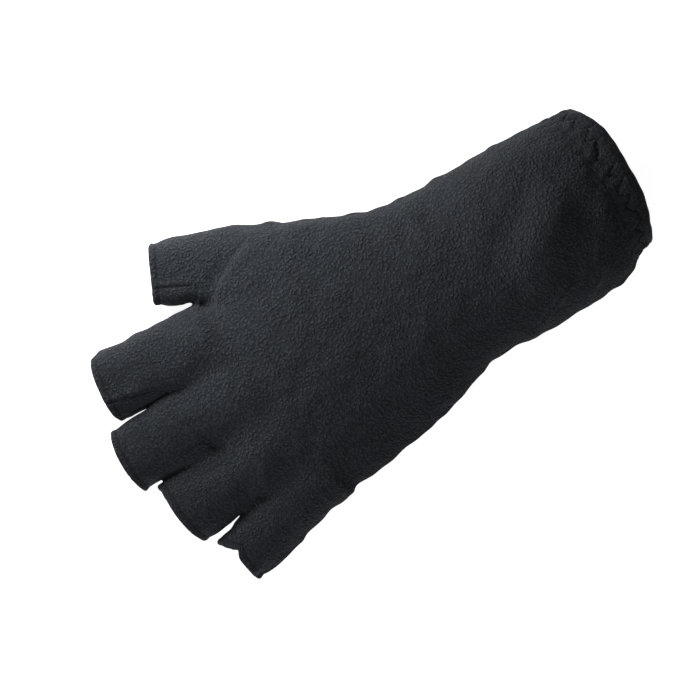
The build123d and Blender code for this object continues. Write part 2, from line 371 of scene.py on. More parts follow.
def net(field, low, high, step):
    """Quads round the places where a field changes sign, on a grid, one point to a cell."""
    axes = [np.arange(a, b + step, step) for a, b in zip(low, high)]
    shape = tuple(len(a) for a in axes)
    y, z = (grid.ravel() for grid in np.meshgrid(axes[1], axes[2], indexing="ij"))
    values = np.stack([field(np.stack([np.full(y.size, x), y, z], 1)) for x in axes[0]]).reshape(shape)
    inside = values < 0
    corners = [(a, b, c) for a in (0, 1) for b in (0, 1) for c in (0, 1)]
    count = sum(inside[a:shape[0] - 1 + a, b:shape[1] - 1 + b, c:shape[2] - 1 + c].astype(np.int8)
                for a, b, c in corners)
    cells = np.argwhere((count > 0) & (count < 8))
    index = -np.ones(tuple(n - 1 for n in shape), np.int64)
    index[tuple(cells.T)] = np.arange(len(cells))
    total, crossings, faces = np.zeros((len(cells), 3)), np.zeros(len(cells)), []
    for axis in range(3):
        ahead = np.eye(3, dtype=int)[axis]
        for corner in corners:
            if corner[axis] == 0:
                a = cells + np.array(corner)
                fa, fb = values[tuple(a.T)], values[tuple((a + ahead).T)]
                cross = (fa < 0) != (fb < 0)
                t = np.where(cross, fa / np.where(cross, fa - fb, 1), 0)
                total[cross] += (a + ahead * t[:, None])[cross]
                crossings[cross] += 1
        o1, o2 = [a for a in range(3) if a != axis]
        at = np.argwhere(np.diff(inside, axis=axis))
        at = at[(at[:, o1] > 0) & (at[:, o2] > 0) & (at[:, o1] < shape[o1] - 1) & (at[:, o2] < shape[o2] - 1)]
        quad = []
        for d1, d2 in ((0, 0), (1, 0), (1, 1), (0, 1)):
            c = at.copy()
            c[:, o1] -= 1 - d1
            c[:, o2] -= 1 - d2
            quad.append(index[tuple(c.T)])
        quad = np.stack(quad, 1)
        back = inside[tuple(at.T)] == (axis == 1)
        quad[back] = quad[back][:, ::-1]
        faces.append(quad)
    return total / crossings[:, None] * step + np.array([a[0] for a in axes]), np.concatenate(faces)


class Cloth:
    """The glove's surface as points and polygons, cut along seams."""

    def __init__(self, points, faces):
        self.points = points
        self.faces = [tuple(f) for f in faces.tolist()]

    def flat(self):
        """Every face's corners in one row, with each face's count and first place."""
        count = np.fromiter(map(len, self.faces), int, len(self.faces))
        row = np.fromiter(chain.from_iterable(self.faces), int, int(count.sum()))
        return row, count, np.concatenate([[0], np.cumsum(count)[:-1]])

    def sides(self):
        """Every directed side of every face, with its face."""
        row, count, start = self.flat()
        after = np.arange(len(row)) + 1
        last = start + count - 1
        after[last] = start
        return row, row[after], np.repeat(np.arange(len(count)), count)

    def edges(self):
        a, b, _ = self.sides()
        return np.unique(np.stack([np.minimum(a, b), np.maximum(a, b)], 1), axis=0)

    def centres(self):
        row, count, start = self.flat()
        return np.add.reduceat(self.points[row], start) / count[:, None]

    def cut(self, field, where=None):
        """Adds edges where a field is nought, on the faces that a test of their centres picks."""
        value = field(self.points)
        value[np.abs(value) < SNAP] = 0.0
        sign = np.sign(value).astype(int)
        row, count, start = self.flat()
        crossed = (np.minimum.reduceat(sign[row], start) < 0) & (np.maximum.reduceat(sign[row], start) > 0)
        if where is not None:
            crossed &= where(self.centres())
        fresh, points = {}, []
        near = np.zeros(len(self.points), bool)
        for i in np.flatnonzero(crossed):
            face = self.faces[i]
            for a, b in zip(face, face[1:] + face[:1]):
                if sign[a] * sign[b] < 0:
                    key = (min(a, b), max(a, b))
                    if key not in fresh:
                        t = value[a] / (value[a] - value[b])
                        fresh[key] = len(self.points) + len(points)
                        points.append(self.points[a] * (1 - t) + self.points[b] * t)
                        near[[a, b]] = True
        sign = np.concatenate([sign, np.zeros(len(points), int)])
        if points:
            self.points = np.concatenate([self.points, np.array(points)])
        for i in np.flatnonzero(crossed | (np.add.reduceat(near[row].astype(int), start) > 1)):
            face, loop = self.faces[i], []
            for a, b in zip(face, face[1:] + face[:1]):
                loop.append(a)
                key = (min(a, b), max(a, b))
                if key in fresh:
                    loop.append(fresh[key])
            zero = [j for j, v in enumerate(loop) if sign[v] == 0]
            self.faces[i] = tuple(loop)
            if crossed[i] and len(zero) == 2:
                j, k = zero
                parts = [tuple(x) for x in (loop[j:k + 1], loop[k:] + loop[:j + 1]) if len(x) > 2]
                self.faces[i] = parts[0]
                self.faces += parts[1:]

    def drop(self, test):
        """Leaves out the faces whose centres pass a test."""
        gone = test(self.centres())
        self.faces = [f for f, g in zip(self.faces, gone) if not g]

    def normals(self, points):
        """Area-weighted normals at every point."""
        a, b, face = self.sides()
        row, count, start = self.flat()
        middle = np.add.reduceat(points[row], start) / count[:, None]
        area = np.cross(points[a] - middle[face], points[b] - middle[face])
        area = np.add.reduceat(area, start)
        total = np.stack([np.bincount(row, area[face][:, k], len(points)) for k in range(3)], 1)
        return unit(total)


def relaxed(points, edges, rounds):
    """Points spread evenly along the surface and drawn back on to it."""
    degree = np.bincount(edges.ravel(), minlength=len(points))[:, None]
    for _ in range(rounds):
        total = np.stack([np.bincount(edges[:, 0], points[edges[:, 1], k], len(points))
                          + np.bincount(edges[:, 1], points[edges[:, 0], k], len(points))
                          for k in range(3)], 1)
        points = points + 0.5 * (total / np.maximum(degree, 1) - points)
        points = onto(points)
    return points


def onto(points):
    """Points moved on to the form's surface, by no more than a millimetre."""
    g = gradient(form, points)
    f = form(points)
    move = f[:, None] * g / np.maximum((g * g).sum(1), 0.05)[:, None]
    reach = np.linalg.norm(move, axis=1, keepdims=True)
    return points - move * np.minimum(1, 1.0 / np.maximum(reach, 1e-9))


# ---------------------------------------------------------------- seams and pieces
WORK = {}  # what one operator leaves for the next


def side_seam(p):
    """Height above the seam that runs along the glove's two sides."""
    height, y, climb = SIDE_SEAM
    return p[:, 2] - height - (y - p[:, 1]) * tan(radians(climb))


def crease(p):
    """Positive on the thumb's side of the fold between the hand's edge and the thumb."""
    (x0, y0), (x1, y1) = CREASE
    t = np.clip((p[:, 1] - y0) / (y1 - y0), 0, 1)
    bow = CREASE_BOW * 4 * t * (1 - t)
    return ((p[:, 0] - x0) * (y1 - y0) - (p[:, 1] - y0) * (x1 - x0)) / np.hypot(x1 - x0, y1 - y0) - bow


def hem_along(p):
    """How far past the hem's first edge a point is, towards the cuff's mouth."""
    y, z, lean = HEM_START
    return (y - p[:, 1]) * cos(radians(lean)) - (p[:, 2] - z) * sin(radians(lean))


class Crotch:
    """The strip of cloth between two fingers: its two seams and the round end where they meet."""

    def __init__(self, first, second, insets, shares, fades, reach, round_by):
        self.first, self.second = STALLS[first], STALLS[second]
        self.insets, self.shares, self.fades = insets, shares, fades
        self.reach, self.round_by = reach, round_by
        self.name = f"{first}_{second}_crotch"

    def arms(self, p):
        """Distance from each seam, positive between them. A seam's inset grows from root to mouth."""
        (ua, _, sa), (ub, _, sb) = self.first.local(p), self.second.local(p)
        ends = []
        for s, stall, (root, mouth) in ((sa, self.first, self.insets[0]), (sb, self.second, self.insets[1])):
            ends.append(root + (mouth - root) * np.clip((s + 3) / (stall.length + 3), 0, 1.1))
        return -(self.first.width / 2 - ends[0]) - ua, ub - (self.second.width / 2 - ends[1])

    def between(self, p):
        return np.minimum(*self.arms(p))

    def end(self, p):
        """Positive past the strip's rounded end."""
        a, b = self.arms(p)
        off = np.clip((a - b) / np.maximum(a + b, 1.0), -1, 1)
        return finger_line(p) - self.reach - self.round_by * off ** 2

    def strip(self, p):
        """Positive inside the strip, nought on its seams."""
        return soft_min(self.between(p), self.end(p), 1.6)

    def share(self, p):
        """How strongly each seam shows, by which of them is nearer."""
        a, b = self.arms(p)
        shares = self.shares[0] + (self.shares[1] - self.shares[0]) * smooth((a - b) / 3 + 0.5)
        return shares * (1 - self.fades * smooth((self.first.local(p)[2] - 1) / 11))


# Each strip's two fingers, the insets of its seams at root and mouth, how strongly they show, how that
# fades towards the mouths, how far past the hand the strip begins, and how round its end is
CROTCHES = (
    Crotch("index", "middle", ((1.6, 7.0), (1.0, 0.8)), (0.6, 0.10), 0.0, 5.0, 1.5),
    Crotch("middle", "ring", ((4.0, 3.0), (3.2, 1.5)), (0.22, 0.30), 0.8, 1.5, 3.0),
    Crotch("ring", "little", ((1.5, 1.2), (1.5, 1.2)), (0.20, 0.20), 0.5, 2.0, 1.5),
)


def close_to(stall, p, room=1.6):
    """Whether a point is in a stall's box, with some room round it."""
    u, v, s = stall.local(p)
    return (np.abs(u) < stall.width / 2 + room) & (np.abs(v) < stall.height / 2 + room) & (s > -30)


def owner(c):
    """Which finger's stall a point is on, by number."""
    return np.argmin([STALLS[f].field(c) for f in FINGERS], axis=0)


def apart(first, second):
    """A field that is nought midway between two stalls and negative on the first one's side."""
    return lambda p: first.field(p) - second.field(p)


def labels(c):
    """The piece that each face belongs to, by its centre."""
    name = np.full(len(c), "", dtype=object)
    cuff = c[:, 1] < WRIST[0]
    above = side_seam(c) > 0
    name[cuff & above], name[cuff & ~above] = "cuff_back", "cuff_palm"
    name[~cuff & above], name[~cuff & ~above] = "back_panel", "palm_panel"
    thumb = STALLS["thumb"]
    u, v, s = thumb.local(c)
    gusset = (crease(c) > 0) & (s < 0) & (c[:, 1] > THUMB_START)
    name[gusset & (v > 0)], name[gusset & (v <= 0)] = "thumb_gusset_back", "thumb_gusset_palm"
    tip = close_to(thumb, c) & (s > 0)
    name[tip] = "thumb_palm"
    name[tip & (v > 0) & (u > THUMB_SEAM)] = "thumb_back"
    name[tip & (thumb.mouth(c) > -mm(sizes().stall_hem))] = "thumb_hem"
    for crotch in CROTCHES:
        name[(crotch.between(c) > 0) & (crotch.end(c) > 0)] = crotch.name
    nearest = owner(c)
    for i, f in enumerate(FINGERS):
        stall = STALLS[f]
        u, v, s = stall.local(c)
        here = (nearest == i) & close_to(stall, c, STALL_ROOM) & (s > 0)
        little, thumbward = NEIGHBOURS[f]
        top = np.where((np.abs(u) > 4) & (((u > 0) & (thumbward is None)) | ((u < 0) & (little is None))),
                       above, v > 0)
        name[here & top], name[here & ~top] = f"{f}_back", f"{f}_palm"
        for crotch in CROTCHES:
            for mine, other, sign in ((crotch.first, crotch.second, -1), (crotch.second, crotch.first, 1)):
                if mine.name == f:
                    strip = crotch.arms(c)[0 if sign < 0 else 1] > 0
                    name[here & strip & (sign * u > 0)] = f"{f}_fourchette_{other.name}"
        name[here & (stall.mouth(c) > -mm(sizes().stall_hem))] = f"{f}_hem"
    name[hem_along(c) > 1.2] = ""
    return name


def waves(p, seed, low, high):
    """Smooth random field, about -1 to 1, with wavelengths from low to high."""
    rng = np.random.default_rng(seed)
    total, count = np.zeros(len(p)), 26
    for _ in range(count):
        direction = unit(rng.normal(size=3))
        length = rng.uniform(low, high)
        total += np.sin(p @ direction * (2 * pi / length) + rng.uniform(0, 2 * pi))
    return total / np.sqrt(count / 2) * 0.6


def streak(p, start, end, width, height):
    """A soft fold along a line in plan: a ridge if its height is positive."""
    taper = 0.35
    a, b = np.array(start, float), np.array(end, float)
    q, d = p[:, :2] - a, b - a
    t = np.clip((q @ d) / (d @ d), 0, 1)
    off = np.hypot(*(q - t[:, None] * d).T)
    fade = np.minimum(smooth((t + 0.02) / taper), smooth((1.02 - t) / taper)) * 0.75 + 0.25
    return height * np.exp(-(off / width) ** 2) * fade


# ---------------------------------------------------------------- relief: seams, folds, gathers
# Low mounds over the knuckles and hollows between them: x, y, width and height
KNUCKLES = ((24.0, 61.0, 9.0, 1.3), (-1.0, 64.0, 9.0, 1.5), (-26.0, 61.0, 8.5, 1.3), (-46.0, 54.0, 8.0, 1.1),
            (12.0, 69.0, 6.0, -1.1), (-13.5, 68.0, 5.5, -0.9), (-36.5, 62.0, 5.5, -1.0),
            (40.0, 30.0, 9.0, 0.8), (-3.0, 30.0, 16.0, 0.6))
# Folds of the back and of the palm: start, end, half width and height
BACK_FOLDS = (
    ((0.0, -85.0), (-19.0, -57.0), 6.2, 2.4), ((-8.0, -92.0), (-31.0, -71.0), 5.0, -0.4),
    ((12.0, -78.0), (-10.0, -46.0), 5.5, -1.7),
    ((-21.0, -75.0), (-34.0, -65.0), 4.5, -1.3), ((-11.0, -96.0), (-25.0, -84.5), 3.6, 1.1),
    ((-23.0, -86.0), (-35.5, -77.0), 2.6, 0.9), ((-33.0, -79.5), (-41.0, -69.0), 1.7, 1.3),
    ((-15.0, -101.0), (-38.0, -82.0), 4.0, -1.7), ((-32.0, -67.0), (-40.0, -46.0), 1.6, 1.5),
    ((-39.0, -54.0), (-41.5, -41.0), 2.4, 0.8), ((3.0, -98.5), (-3.0, -93.0), 2.4, -0.5),
    ((8.0, -92.0), (6.0, -80.0), 3.0, -0.5), ((15.0, -90.0), (16.0, -74.0), 3.0, 0.4),
    ((-6.0, -44.0), (-30.0, -52.0), 4.0, -0.5), ((27.0, -22.0), (13.0, -27.0), 2.6, -0.8),
    ((28.0, -30.0), (16.0, -31.0), 2.4, 0.6), ((27.5, -38.0), (13.0, -35.5), 2.6, -0.7),
    ((-29.0, 66.0), (-37.0, 69.5), 1.3, 0.6), ((22.0, 40.0), (34.0, 22.0), 5.0, -0.6),
    ((9.0, 84.0), (4.0, 74.0), 2.0, -0.4), ((-18.6, 101.0), (-20.6, 72.0), 3.5, -1.5),
    ((-11.6, 99.0), (-11.2, 80.0), 2.8, 0.7), ((17.0, 95.0), (17.0, 79.0), 2.6, -0.7),
    ((12.0, 93.0), (11.8, 77.0), 2.4, 0.6), ((-42.0, 89.0), (-40.0, 74.0), 3.0, -1.0),
    ((40.0, 12.0), (30.0, 2.0), 4.0, -0.5),
)
PALM_FOLDS = (
    ((27.0, 62.0), (8.0, 10.0), 4.0, -1.1), ((-48.0, 50.0), (16.0, 60.0), 2.6, -0.7),
    ((-46.0, 34.0), (-4.0, 42.0), 2.4, -0.5), ((30.0, -30.0), (-2.0, -33.0), 2.6, -0.8),
    ((-42.0, -36.0), (-8.0, -41.0), 2.8, -0.8), ((26.0, -20.0), (6.0, -24.0), 2.2, -0.5),
    ((14.0, -60.0), (0.0, -88.0), 3.4, -0.9), ((-24.0, -62.0), (-14.0, -90.0), 3.0, -0.7),
    ((-2.0, -55.0), (-6.0, -84.0), 4.0, 0.8), ((38.0, 40.0), (30.0, 12.0), 5.0, 0.7),
)


def bell(x):
    """One at nought, falling away smoothly on both sides."""
    return np.exp(-x * x)


def along(p, n, field):
    """Distance along the surface from the line where a field is nought, with the field's sign."""
    g = gradient(field, p)
    g -= n * (g * n).sum(1, keepdims=True)
    return field(p) / np.maximum(np.linalg.norm(g, axis=1), 0.3)


def seams():
    """Fields that are nought on each seam, each with where it runs and its depth, puff, step and pucker."""
    thumb, made = STALLS["thumb"], []
    for crotch in CROTCHES:
        made.append((crotch.strip, lambda p, c=crotch: smooth((finger_line(p) + 8) / 5) * c.share(p),
                     0.75, 0.40, 0.45, 0.15))

    def at_side(p):
        """The side seam runs on the two outer fingers only, and stops beside the thumb's crease."""
        held = smooth((finger_line(p) + 2) / 2)
        edge = np.max([smooth((sign * STALLS[f].local(p)[0] - 5) / 2)
                       for f, sign in (("index", 1), ("little", -1))], axis=0)
        off = smooth((crease(p) + 1.0) / 1.5) * smooth((p[:, 1] - 17) / 3) * smooth((60 - p[:, 1]) / 3)
        return (1 - held * (1 - edge)) * (1 - off)

    made.append((side_seam, at_side, 0.40, 0.25, 0.0, 0.30))
    made.append((lambda p: thumb.local(p)[0] - THUMB_SEAM,
                 lambda p: smooth((thumb.local(p)[2] - 0.8) / 1.5) * smooth(thumb.local(p)[1] / 2)
                 * close_to(thumb, p), 0.32, 0.12, -0.15, 0.10))
    made.append((lambda p: thumb.local(p)[1],
                 lambda p: smooth((thumb.local(p)[2] + 30) / 4) * smooth((thumb.local(p)[0] - 4) / 2)
                 * (crease(p) > 0) * smooth((p[:, 1] - 22) / 6), 0.25, 0.15, 0.0, 0.12))
    made.append((crease, lambda p: smooth((p[:, 1] - 15) / 5) * smooth((50.5 - p[:, 1]) / 3)
                 * smooth((p[:, 0] - 28) / 4) * smooth((48.5 - p[:, 0]) / 4), 0.08, 0.0, 0.0, 0.10))
    for name, stall in STALLS.items():
        made.append((lambda p, s=stall: s.mouth(p) + mm(sizes().stall_hem),
                     lambda p, s=stall: close_to(s, p) * smooth((s.local(p)[2] - s.length + 9) / 2),
                     0.22 if name == "thumb" else 0.10, 0.10, 0.0, 0.05))
    return made


def relief(p, n):
    """How far the cloth stands off its plain form, and how deep in a seam each point is; that depth flattens
    the pile and darkens its colour as painted shade in the seam's groove.
    """
    back = smooth(n[:, 2] / 0.5 + 0.2)
    palm = smooth(-n[:, 2] / 0.5 + 0.2)
    lift = 0.28 * waves(p, 3, 14, 34) + 0.13 * waves(p, 4, 5, 11)
    for x, y, width, height in KNUCKLES:
        lift += back * height * bell(np.hypot(p[:, 0] - x, p[:, 1] - y) / width)
    for folds, side in ((BACK_FOLDS, back), (PALM_FOLDS, palm)):
        for start, end, width, height in folds:
            lift += side * streak(p, start, end, width, height)
    pucker, seam = waves(p, 7, 6.0, 13.0), np.zeros(len(p))
    for field, where, depth, puff, step, gather in seams():
        d = along(p, n, field)
        near = np.abs(d) < 12
        weight = np.zeros(len(p))
        weight[near] = where(p[near])
        uneven = 1 + 0.35 * pucker
        lift += weight * uneven * (puff * bell((np.abs(d) - 1.7) / 1.15) - depth * bell(d / 0.5))
        lift += weight * step * (bell((d + 1.3) / 1.5) - 1.1 * bell((d - 1.6) / 1.6))
        lift += weight * gather * pucker * bell(d / 3.6)
        # painted shade: a seam's groove is darkened in the pile's colour, and its pile flattened
        seam = np.maximum(seam, weight * bell(d / 0.65))
    d = along(p, n, crease)
    lift += (back * smooth((p[:, 1] - 15) / 6) * smooth((50.5 - p[:, 1]) / 6) * smooth((46 - p[:, 0]) / 8)
             * (1.25 * bell((d + 3.0) / 3.2) - 1.5 * bell((d - 2.4) / 3.0)))
    for stall in STALLS.values():
        shape_mouth(lift, stall, p, pucker)
    shape_hem_edge(lift, p)
    return lift, seam


def shape_mouth(lift, stall, p, pucker):
    """Adds the flare and the tucked outer corners of a stall's mouth to the relief."""
    u, v, s = stall.local(p)
    near = close_to(stall, p) & (s > 0)
    tip = bell((s - stall.length - 0.5) / 1.6) * near
    corner = bell((np.abs(u) - stall.width / 2) / 2.6) * bell((v - 1) / 7)
    little, thumbward = NEIGHBOURS[stall.name]
    joined = np.where(u > 0, thumbward is not None, little is not None)
    tuck = 1.1 if stall.name == "thumb" else 1.6
    lift += (tip * (0.7 * corner * joined + 0.25 * pucker)
             - tuck * bell((s - stall.length) / 4) * near * corner * ~joined)
    lift -= 0.35 * bell((s - stall.length + 5) / 2.2) * corner * near * joined


def shape_hem_edge(lift, p):
    """Adds the gathers that the elastic draws into the sleeve to the relief."""
    past = hem_along(p)
    turn = np.arctan2(p[:, 2] - HEM_START[1], p[:, 0] + 6)
    gathered = np.sin(sizes().gathers * turn + 2.5 * waves(p, 11, 20, 50))
    gathered = gathered * (0.65 + 0.5 * waves(p, 12, 9, 20))
    lift += bell((past + 1.0) / 4.5) * 0.28 * gathered + bell((past + 5.0) / 4.0) * 0.25
    lift -= (0.25 + 0.15 * gathered) * smooth((past + 3.0) / 3.0) ** 1.5


def cut_seams(cloth):
    """Cuts the cloth where its pieces meet, and beside its seams, where the relief is tight."""
    thumb = STALLS["thumb"]
    cloth.cut(hem_along, lambda c: c[:, 1] < CUFF_END)
    cloth.drop(lambda c: (hem_along(c) > 0) & (c[:, 1] < CUFF_END))
    for offset in (1.0, 2.2):
        cloth.cut(lambda p: hem_along(p) + offset, lambda c: c[:, 1] < CUFF_END)
    for name, stall in STALLS.items():
        def own(c):
            return name == "thumb" or owner(c) == FINGERS.index(name)

        def tip(c):
            u, v, s = stall.local(c)
            return (np.abs(u) < stall.width / 2 + 4) & (np.abs(v) < stall.height / 2 + 3) & (s > 2) & own(c)

        cloth.cut(stall.mouth, tip)
        cloth.drop(lambda c: tip(c) & (stall.mouth(c) > 0))
        for offset in (-1.2, -0.5, 0, 0.5, 1.2):
            cloth.cut(lambda p: stall.mouth(p) + mm(sizes().stall_hem) + offset, tip)
        room = 2.5 if name == "thumb" else STALL_ROOM
        cloth.cut(lambda p: stall.local(p)[2],
                  lambda c: close_to(stall, c, room) & (np.abs(stall.local(c)[2]) < 3) & own(c))
    for crotch in CROTCHES:
        first, second = crotch.first, crotch.second
        split = apart(first, second)
        cloth.cut(split, lambda c: (np.abs(split(c)) < 3) & (close_to(first, c, 4) | close_to(second, c, 4))
                  & (first.local(c)[2] > -1))
    cloth.cut(lambda p: p[:, 1] - WRIST[0], lambda c: np.abs(c[:, 1] - WRIST[0]) < 3)

    def near(c):
        return finger_line(c) > -8

    for offset in (0, -1.9, -1.2, -0.6, 0.6, 1.2, 1.9):
        for crotch in CROTCHES:
            if offset == 0:
                cloth.cut(crotch.between, lambda c: near(c) & (crotch.end(c) > -1))
                cloth.cut(crotch.end, lambda c: near(c) & (crotch.between(c) > -1))
            else:
                cloth.cut(lambda p: crotch.strip(p) - offset,
                          lambda c: near(c) & (np.abs(crotch.strip(c)) < 4)
                          & (close_to(crotch.first, c) | close_to(crotch.second, c)))
        cloth.cut(lambda p: side_seam(p) - offset, lambda c: (np.abs(side_seam(c) - offset) < 2)
                  & ((finger_line(c) < 6) | (STALLS["index"].local(c)[0] > 3)
                     | (STALLS["little"].local(c)[0] < -3)))
        cloth.cut(lambda p: thumb.local(p)[0] - THUMB_SEAM - offset,
                  lambda c: close_to(thumb, c) & (thumb.local(c)[1] > 0) & (thumb.local(c)[2] > -1))
        cloth.cut(lambda p: crease(p) - offset, lambda c: (np.abs(crease(c) - offset) < 3)
                  & (c[:, 0] > 28) & (c[:, 1] > THUMB_START) & (c[:, 1] < 56))
        if abs(offset) < 1:
            cloth.cut(lambda p: thumb.local(p)[1] - offset, lambda c: (crease(c) > 0)
                      & (c[:, 1] > THUMB_START) & (thumb.local(c)[2] < thumb.length + 3)
                      & (np.abs(thumb.local(c)[1]) < 3))


def whole():
    """The glove's cut and shaped surface, worked out once for all its pieces."""
    if not WORK:
        low = np.array(CAD_BOX[0]) * 1000 - ROOM_BELOW
        high = np.array(CAD_BOX[1]) * 1000 + ROOM_ABOVE
        cloth = Cloth(*net(form, low, high, mm(sizes().mesh_step)))
        cloth.points = relaxed(onto(onto(cloth.points)), cloth.edges(), SETTLE_ROUNDS)
        cut_seams(cloth)
        normals = unit(gradient(form, cloth.points))
        lift, seam = relief(cloth.points, normals)
        shaped = cloth.points + normals * lift[:, None]
        shaped[:, 2] = np.maximum(shaped[:, 2], FLOOR_GAP)
        WORK.update(cloth=cloth, form=normals, shaped=shaped, seam=seam,
                    normals=cloth.normals(shaped), names=labels(cloth.centres()))
    return WORK


# ---------------------------------------------------------------- making pieces
def piece(name, points, faces, normals, data, surface):
    """A mesh object from millimetres, with its own normals and its cloth attributes."""
    mesh = bpy.data.meshes.new(name)
    mesh.from_pydata((np.asarray(points) * 0.001).tolist(), [], faces)
    mesh.polygons.foreach_set("use_smooth", [True] * len(mesh.polygons))
    for key, values in data.items():
        values = np.asarray(values, np.float32)
        kind = "FLOAT_VECTOR" if values.ndim == 2 else "FLOAT"
        layer = mesh.attributes.new(key, kind, "POINT")
        layer.data.foreach_set("vector" if values.ndim == 2 else "value", values.ravel())
    mesh.materials.append(surface)
    mesh.update()
    if normals is not None:
        mesh.normals_split_custom_set_from_vertices(normals.tolist())
    obj = bpy.data.objects.new(name, mesh)
    bpy.context.scene.collection.objects.link(obj)
    return obj


def side_wall(mine, other):
    """The wall of a stall that lies against its neighbour's: points, faces, normals, cloth and inside."""
    split = apart(mine, other)
    ahead = np.arange(-WALL_BEHIND, mine.length + 4, WALL_STEP)
    above = np.arange(-mine.height / 2 - 1, mine.height / 2 + 5, WALL_STEP)
    s, v = (grid.ravel() for grid in np.meshgrid(ahead, above, indexing="ij"))
    towards = 1.0 if (other.root - mine.root) @ mine.side > 0 else -1.0
    base = mine.root + mine.up * v[:, None] + mine.ahead * s[:, None]
    low, _ = halved(lambda reach: split(base + mine.side * (towards * reach)[:, None]) < 0,
                    np.zeros(len(s)), np.full(len(s), WALL_SEARCH))
    p = base + mine.side * (towards * low)[:, None]
    n = unit(gradient(split, p))
    lift = relief(p, unit(gradient(form, p)))[0]
    kept = (form(p) < np.minimum(lift, 0.3) - WALL_INSET) & (mine.mouth(p) < -0.5)
    kept = kept.reshape(len(ahead), len(above))
    cells = np.argwhere(kept[:-1, :-1] & kept[1:, :-1] & kept[:-1, 1:] & kept[1:, 1:])
    order = ((0, 0), (1, 0), (1, 1), (0, 1)) if towards > 0 else ((0, 0), (0, 1), (1, 1), (1, 0))
    front = [tuple((i + a) * len(above) + j + b for a, b in order) for i, j in cells.tolist()]
    used = sorted(set(chain.from_iterable(front)))
    place = {old: new for new, old in enumerate(used)}
    front = [tuple(place[v] for v in face) for face in front]
    count, p, n = len(used), p[used], n[used]
    sides = {(a, b) for face in front for a, b in zip(face, face[1:] + face[:1])}
    faces = front + [tuple(v + count for v in reversed(face)) for face in front]
    faces += [(b, a, a + count, b + count) for a, b in sorted(sides) if (b, a) not in sides]
    return (np.concatenate([p - n * off for off in WALL_FACES]), faces, np.concatenate([n, -n]),
            np.concatenate([p, p]), np.repeat((0.0, 1.0), count))


def panel(name, surface, wall=None, mouth=None, beside=None):
    """One cloth piece: its outside and inside, flat ends on its seams and a round lip at a mouth."""
    work = whole()
    cloth = work["cloth"]
    faces = [f for f, n in zip(cloth.faces, work["names"]) if n == name]
    if not faces:
        raise RuntimeError(f"{name} has no cloth")
    wall = mm(sizes().cloth) if wall is None else wall
    used = np.unique(np.fromiter(chain.from_iterable(faces), int))
    place = np.full(len(cloth.points), -1)
    place[used] = np.arange(len(used))
    outer = work["shaped"][used]
    inner = outer - work["form"][used] * wall
    n, base = work["normals"][used], cloth.points[used]
    count = len(used)
    points, normals, rest = [outer, inner], [n, -work["form"][used]], [base, base]
    seam = [work["seam"][used], np.zeros(count)]
    inside = [np.zeros(count), np.ones(count)]
    shell = [tuple(place[v] for v in f) for f in faces]
    sides = {(a, b) for f in shell for a, b in zip(f, f[1:] + f[:1])}
    ends = [(a, b) for a, b in sides if (b, a) not in sides]
    shell += [tuple(v + count for v in reversed(f)) for f in list(shell)]
    across = {}
    if mouth is not None:
        at = mouth(base)
        open_ends = [(a, b) for a, b in ends if at[a] > -0.5 and at[b] > -0.5]
        edge = sorted({v for e in open_ends for v in e})
        out, up = unit(gradient(mouth, base[edge])), work["form"][used][edge]
        out = unit(out - up * (out * up).sum(1, keepdims=True))
        for k in range(1, LIP_STEPS):
            turn = pi * k / LIP_STEPS
            centre = (outer[edge] + inner[edge]) / 2
            points.append(centre + up * (wall / 2 * cos(turn)) + out * (wall / 2 * 0.8 * sin(turn)))
            normals.append(unit(up * cos(turn) + out * sin(turn)))
            rest.append(base[edge] + out * (wall * k / LIP_STEPS))
            # the round lip takes a little of the seam mask: flatter pile and a little painted shade
            seam.append(np.full(len(edge), 0.25))
            inside.append(np.full(len(edge), k / LIP_STEPS))
        round_edge = {v: [v, *(2 * count + k * len(edge) + j for k in range(LIP_STEPS - 1)), v + count]
                      for j, v in enumerate(edge)}
        across = {(a, b): (round_edge[a], round_edge[b]) for a, b in open_ends}
    for a, b in ends:
        run_a, run_b = across.get((a, b), ((a, a + count), (b, b + count)))
        shell += [(b0, a0, a1, b1) for a0, a1, b0, b1 in zip(run_a, run_a[1:], run_b, run_b[1:])]
    if beside is not None:
        extra, extra_faces, *more = side_wall(*beside)
        total = sum(len(p) for p in points)
        shell += [tuple(v + total for v in face) for face in extra_faces]
        for kept, new in zip((points, normals, rest, inside, seam), (extra, *more, np.zeros(len(extra)))):
            kept.append(new)
    data = {"cloth": np.concatenate(rest), "seam": np.concatenate(seam), "inside": np.concatenate(inside)}
    return piece(name, np.concatenate(points), shell, np.concatenate(normals), data, surface)


def tube(loops):
    """The points of a tube closed both ways, and the quads between its loops."""
    n, m = len(loops), HEM_ROUND
    faces = [(i * m + j, i * m + (j + 1) % m, (i + 1) % n * m + (j + 1) % m, (i + 1) % n * m + j)
             for i in range(n) for j in range(m)]
    return np.concatenate(loops), faces


# ---------------------------------------------------------------- materials
def plug(tree, made, inputs):
    """Gives a node's inputs their values, or the sockets that feed them."""
    for key, value in inputs.items():
        if isinstance(value, bpy.types.NodeSocket):
            tree.links.new(value, made.inputs[key])
        else:
            made.inputs[key].default_value = value


def node(tree, kind, inputs=None, **settings):
    """A node with its settings and its inputs."""
    made = tree.nodes.new(kind)
    for key, value in settings.items():
        setattr(made, key, value)
    plug(tree, made, inputs or {})
    return made


def calc(tree, operation, a, b=0.0, c=0.0, clamp=False):
    return node(tree, "ShaderNodeMath", {0: a, 1: b, 2: c}, operation=operation, use_clamp=clamp).outputs[0]


def times(tree, a, b, clamp=False):
    return calc(tree, "MULTIPLY", a, b, clamp=clamp)


def times_plus(tree, a, b, c):
    return calc(tree, "MULTIPLY_ADD", a, b, c)


def vector(tree, operation, a, b):
    """Two vectors put together, or one vector scaled by a number."""
    return node(tree, "ShaderNodeVectorMath", {0: a, 3 if operation == "SCALE" else 1: b},
                operation=operation).outputs[0]


